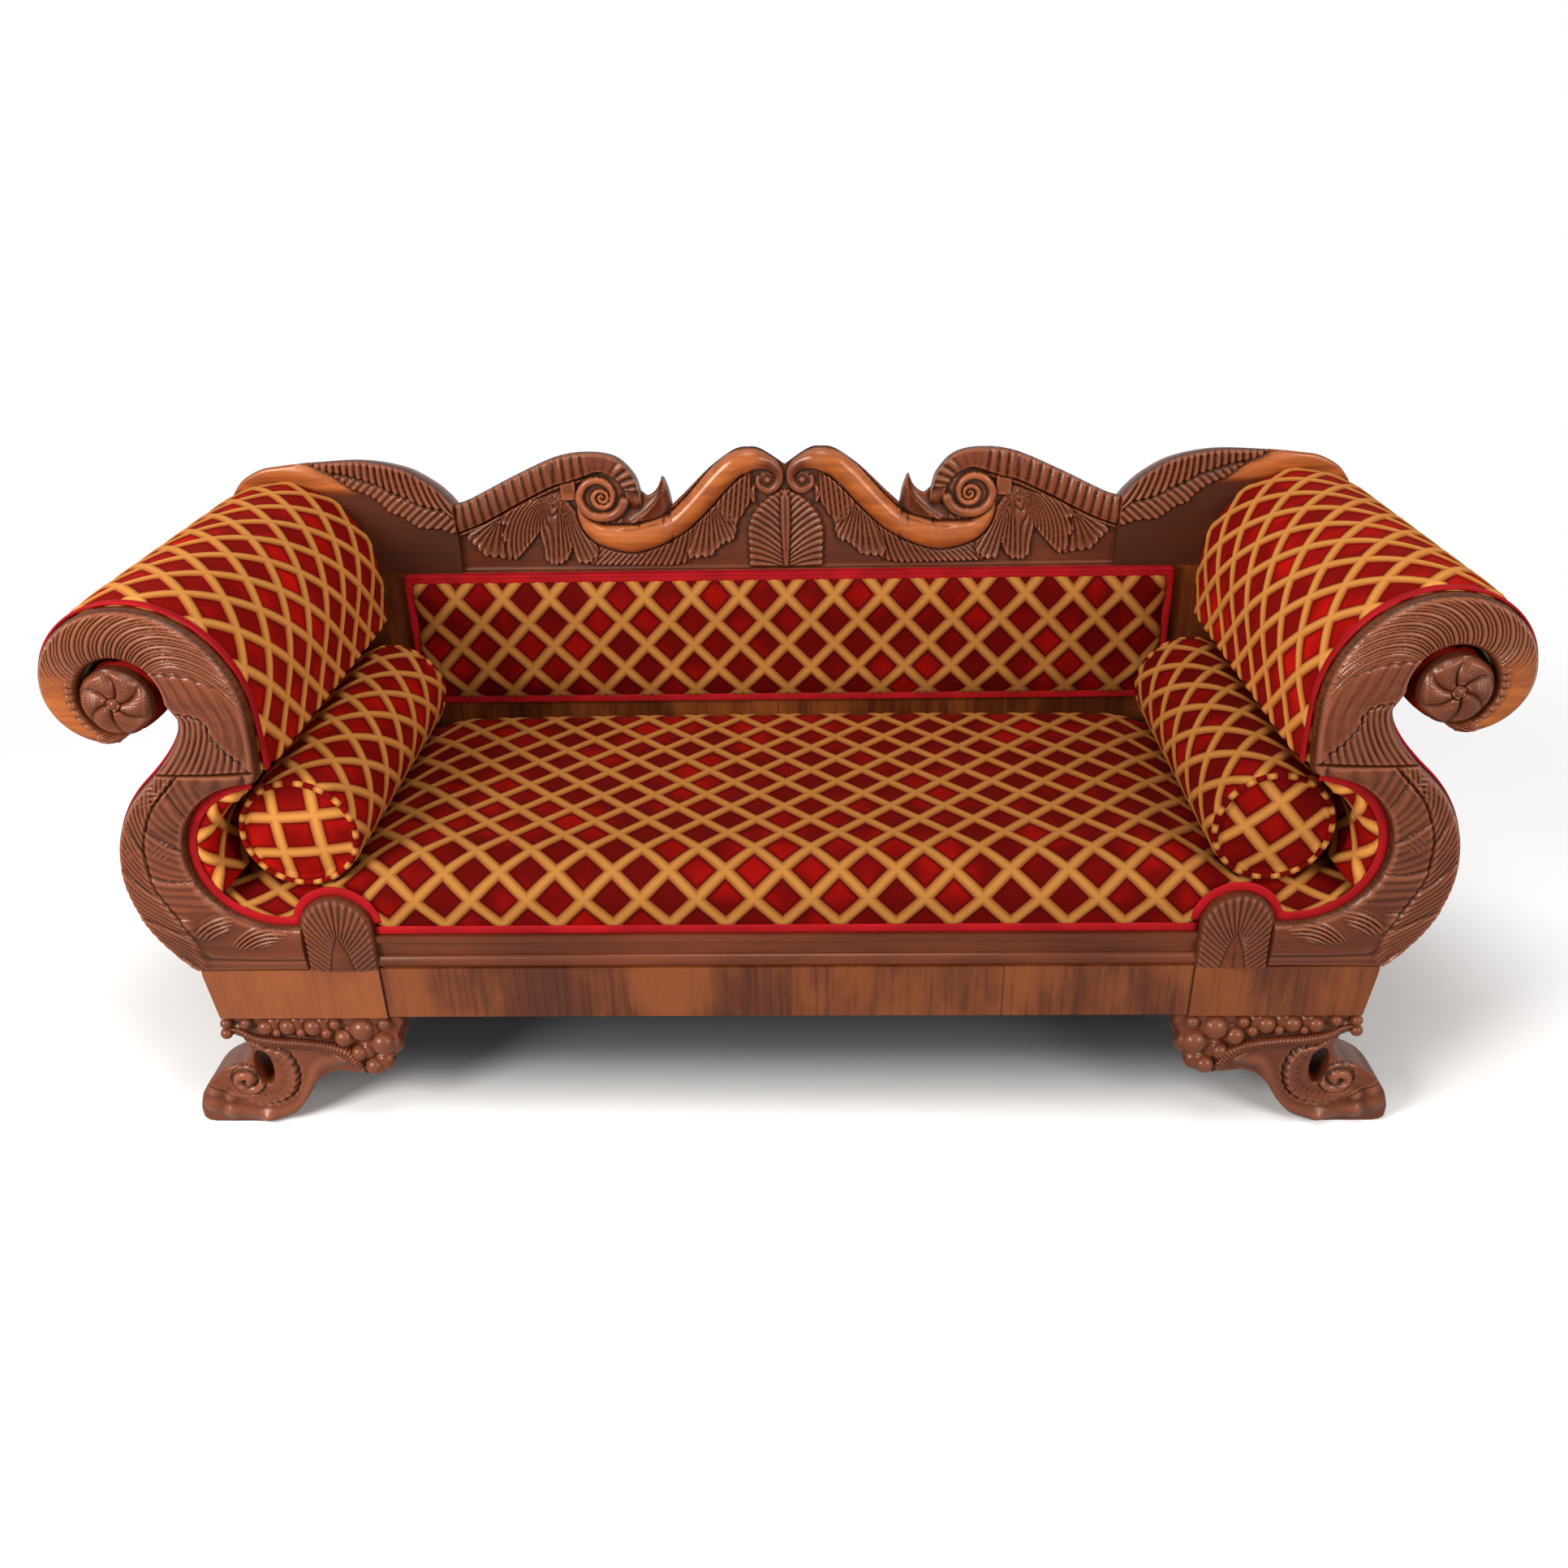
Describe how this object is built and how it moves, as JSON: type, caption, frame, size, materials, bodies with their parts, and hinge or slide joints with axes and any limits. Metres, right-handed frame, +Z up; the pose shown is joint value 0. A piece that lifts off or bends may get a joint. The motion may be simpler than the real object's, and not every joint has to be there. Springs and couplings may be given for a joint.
{
  "type": "scroll-arm sofa",
  "caption": "Carved scroll-arm sofa with a fixed seat, an upholstered back panel under a shaped crest, and loose round bolsters in the arms.",
  "frame": {"origin": "on the floor under the middle of the sofa", "axes": "+X along the seat to a viewer's right, +Y to the back, +Z up; the front faces -Y"},
  "size_m": [2.016, 0.67, 0.9352],
  "materials": {
    "carved_mahogany": "carved mahogany, shellac, satin",
    "mahogany_veneer": "flame mahogany veneer, shellac, satin",
    "secondary_wood": "bare poplar, sawn",
    "lattice_velvet": "cut velvet with a raised gold lattice",
    "gimp": "plain woven red braid",
    "webbing": "plain jute webbing"
  },
  "bodies": {
    "frame": {"arched_tablet_left": "carved_mahogany", "arched_tablet_right": "carved_mahogany", "arm_bowl_pad_left": "lattice_velvet", "arm_bowl_pad_right": "lattice_velvet", "arm_facing_left": "carved_mahogany", "arm_facing_right": "carved_mahogany", "arm_lower_rail_left": "secondary_wood", "arm_lower_rail_right": "secondary_wood", "arm_neck_rail_left": "secondary_wood", "arm_neck_rail_right": "secondary_wood", "arm_outer_cover_left": "lattice_velvet", "arm_outer_cover_right": "lattice_velvet", "arm_pad_left": "lattice_velvet", "arm_pad_right": "lattice_velvet", "arm_post_left": "secondary_wood", "arm_post_right": "secondary_wood", "arm_rear_post_left": "carved_mahogany", "arm_rear_post_right": "carved_mahogany", "arm_roll_left": "lattice_velvet", "arm_roll_rail_left": "secondary_wood", "arm_roll_rail_right": "secondary_wood", "arm_roll_right": "lattice_velvet", "arm_rosette_left": "carved_mahogany", "arm_rosette_right": "carved_mahogany", "back_cover": "lattice_velvet", "back_lower_rail": "mahogany_veneer", "back_pad": "lattice_velvet", "back_panel": "webbing", "back_stile_left": "mahogany_veneer", "back_stile_right": "mahogany_veneer", "crest_rail": "carved_mahogany", "crest_wing_left": "carved_mahogany", "crest_wing_right": "carved_mahogany", "cross_rail_left": "secondary_wood", "cross_rail_right": "secondary_wood", "front_block_left": "mahogany_veneer", "front_block_right": "mahogany_veneer", "front_corner_block_left": "secondary_wood", "front_corner_block_right": "secondary_wood", "front_leg_left": "carved_mahogany", "front_leg_right": "carved_mahogany", "front_rail": "mahogany_veneer", "rear_corner_block_left": "secondary_wood", "rear_corner_block_right": "secondary_wood", "rear_leg_left": "carved_mahogany", "rear_leg_right": "carved_mahogany", "rear_rail": "secondary_wood", "seat_pad": "lattice_velvet", "seat_rail_moulding": "carved_mahogany", "seat_webbing": "webbing", "side_rail_left": "mahogany_veneer", "side_rail_right": "mahogany_veneer"},
    "bolster_left": {"bolster_left": "lattice_velvet"},
    "bolster_right": {"bolster_right": "lattice_velvet"}
  },
  "joints": [
    {"name": "bolster_left_lift", "type": "slide", "parent": "frame", "child": "bolster_left", "axis": [0.7659, 0, 0.6429], "range_m": [0, 0.3]},
    {"name": "bolster_right_lift", "type": "slide", "parent": "frame", "child": "bolster_right", "axis": [-0.7659, 0, 0.6429], "range_m": [0, 0.3]}
  ]
}
